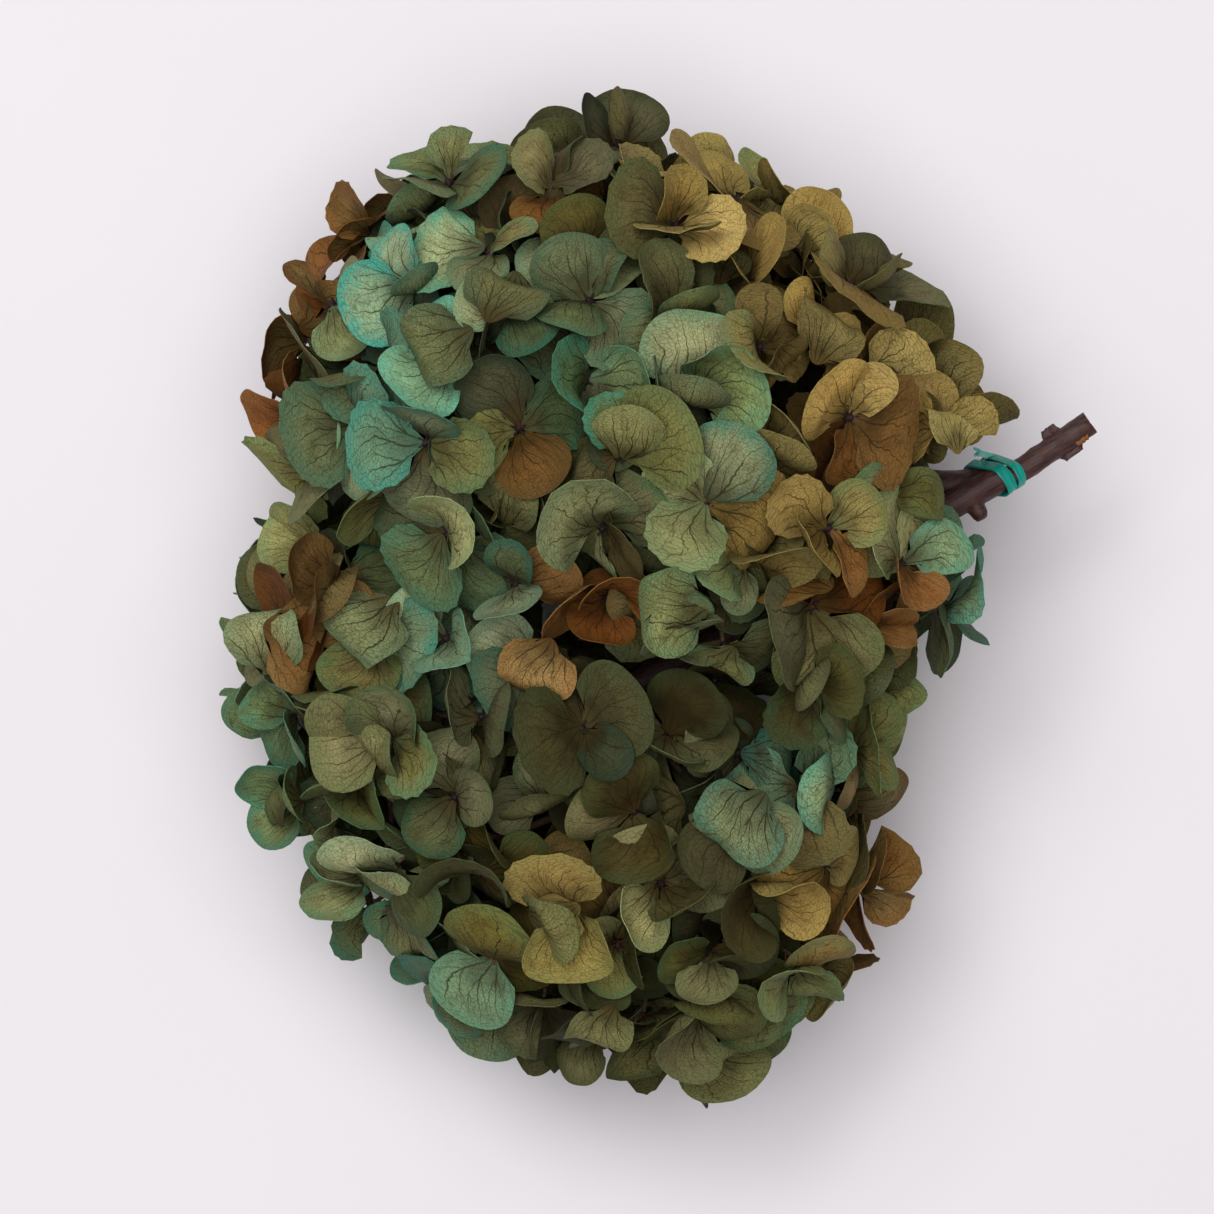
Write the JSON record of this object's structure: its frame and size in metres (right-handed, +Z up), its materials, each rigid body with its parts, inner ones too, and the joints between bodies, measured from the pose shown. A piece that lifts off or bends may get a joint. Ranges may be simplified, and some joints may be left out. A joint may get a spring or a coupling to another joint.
{
  "type": "cut hydrangea",
  "caption": "Bunch of preserved mophead hydrangea, tied by its woody stems with a soft band and lying on its side.",
  "frame": {"origin": "on the surface the bunch rests on, under the middle of its box", "axes": "+Z up, +X from the flower heads along the stems, +Y from the lower head to the upper head"},
  "size_m": [0.1812, 0.205, 0.1097],
  "materials": {
    "upper_sepals": "matt preserved sepals, turquoise at the rim to tan in the middle, dark veins",
    "lower_sepals": "matt preserved sepals, olive green with teal rims, dark veins",
    "branch": "thin dull flower stalk",
    "bark": "dark purple-brown bark, satin",
    "tie": "smooth soft band, slightly glossy"
  },
  "bodies": {
    "root": {"main_stem": "bark", "ray_a1": "branch", "ray_a2": "branch", "ray_a3": "branch", "ray_a4": "branch", "ray_a5": "branch", "ray_b1": "branch", "ray_b2": "branch", "ray_b3": "branch", "ray_b4": "branch", "ray_b5": "branch", "second_stem": "bark", "sprig_a01": "upper_sepals", "sprig_a02": "upper_sepals", "sprig_a03": "upper_sepals", "sprig_a04": "upper_sepals", "sprig_a05": "upper_sepals", "sprig_a06": "upper_sepals", "sprig_a07": "upper_sepals", "sprig_a08": "upper_sepals", "sprig_a09": "upper_sepals", "sprig_a10": "upper_sepals", "sprig_a11": "upper_sepals", "sprig_a12": "upper_sepals", "sprig_a13": "upper_sepals", "sprig_a14": "upper_sepals", "sprig_a15": "upper_sepals", "sprig_a16": "upper_sepals", "sprig_a17": "upper_sepals", "sprig_a18": "upper_sepals", "sprig_a19": "upper_sepals", "sprig_a20": "upper_sepals", "sprig_b01": "lower_sepals", "sprig_b02": "lower_sepals", "sprig_b03": "lower_sepals", "sprig_b04": "lower_sepals", "sprig_b05": "lower_sepals", "sprig_b06": "lower_sepals", "sprig_b07": "lower_sepals", "sprig_b08": "lower_sepals", "sprig_b09": "lower_sepals", "sprig_b10": "lower_sepals", "sprig_b11": "lower_sepals", "sprig_b12": "lower_sepals", "sprig_b13": "lower_sepals", "sprig_b14": "lower_sepals", "sprig_b15": "lower_sepals", "sprig_b16": "lower_sepals", "sprig_b17": "lower_sepals", "sprig_b18": "lower_sepals", "sprig_b19": "lower_sepals", "sprig_b20": "lower_sepals", "tie_band": "tie"}
  },
  "joints": []
}
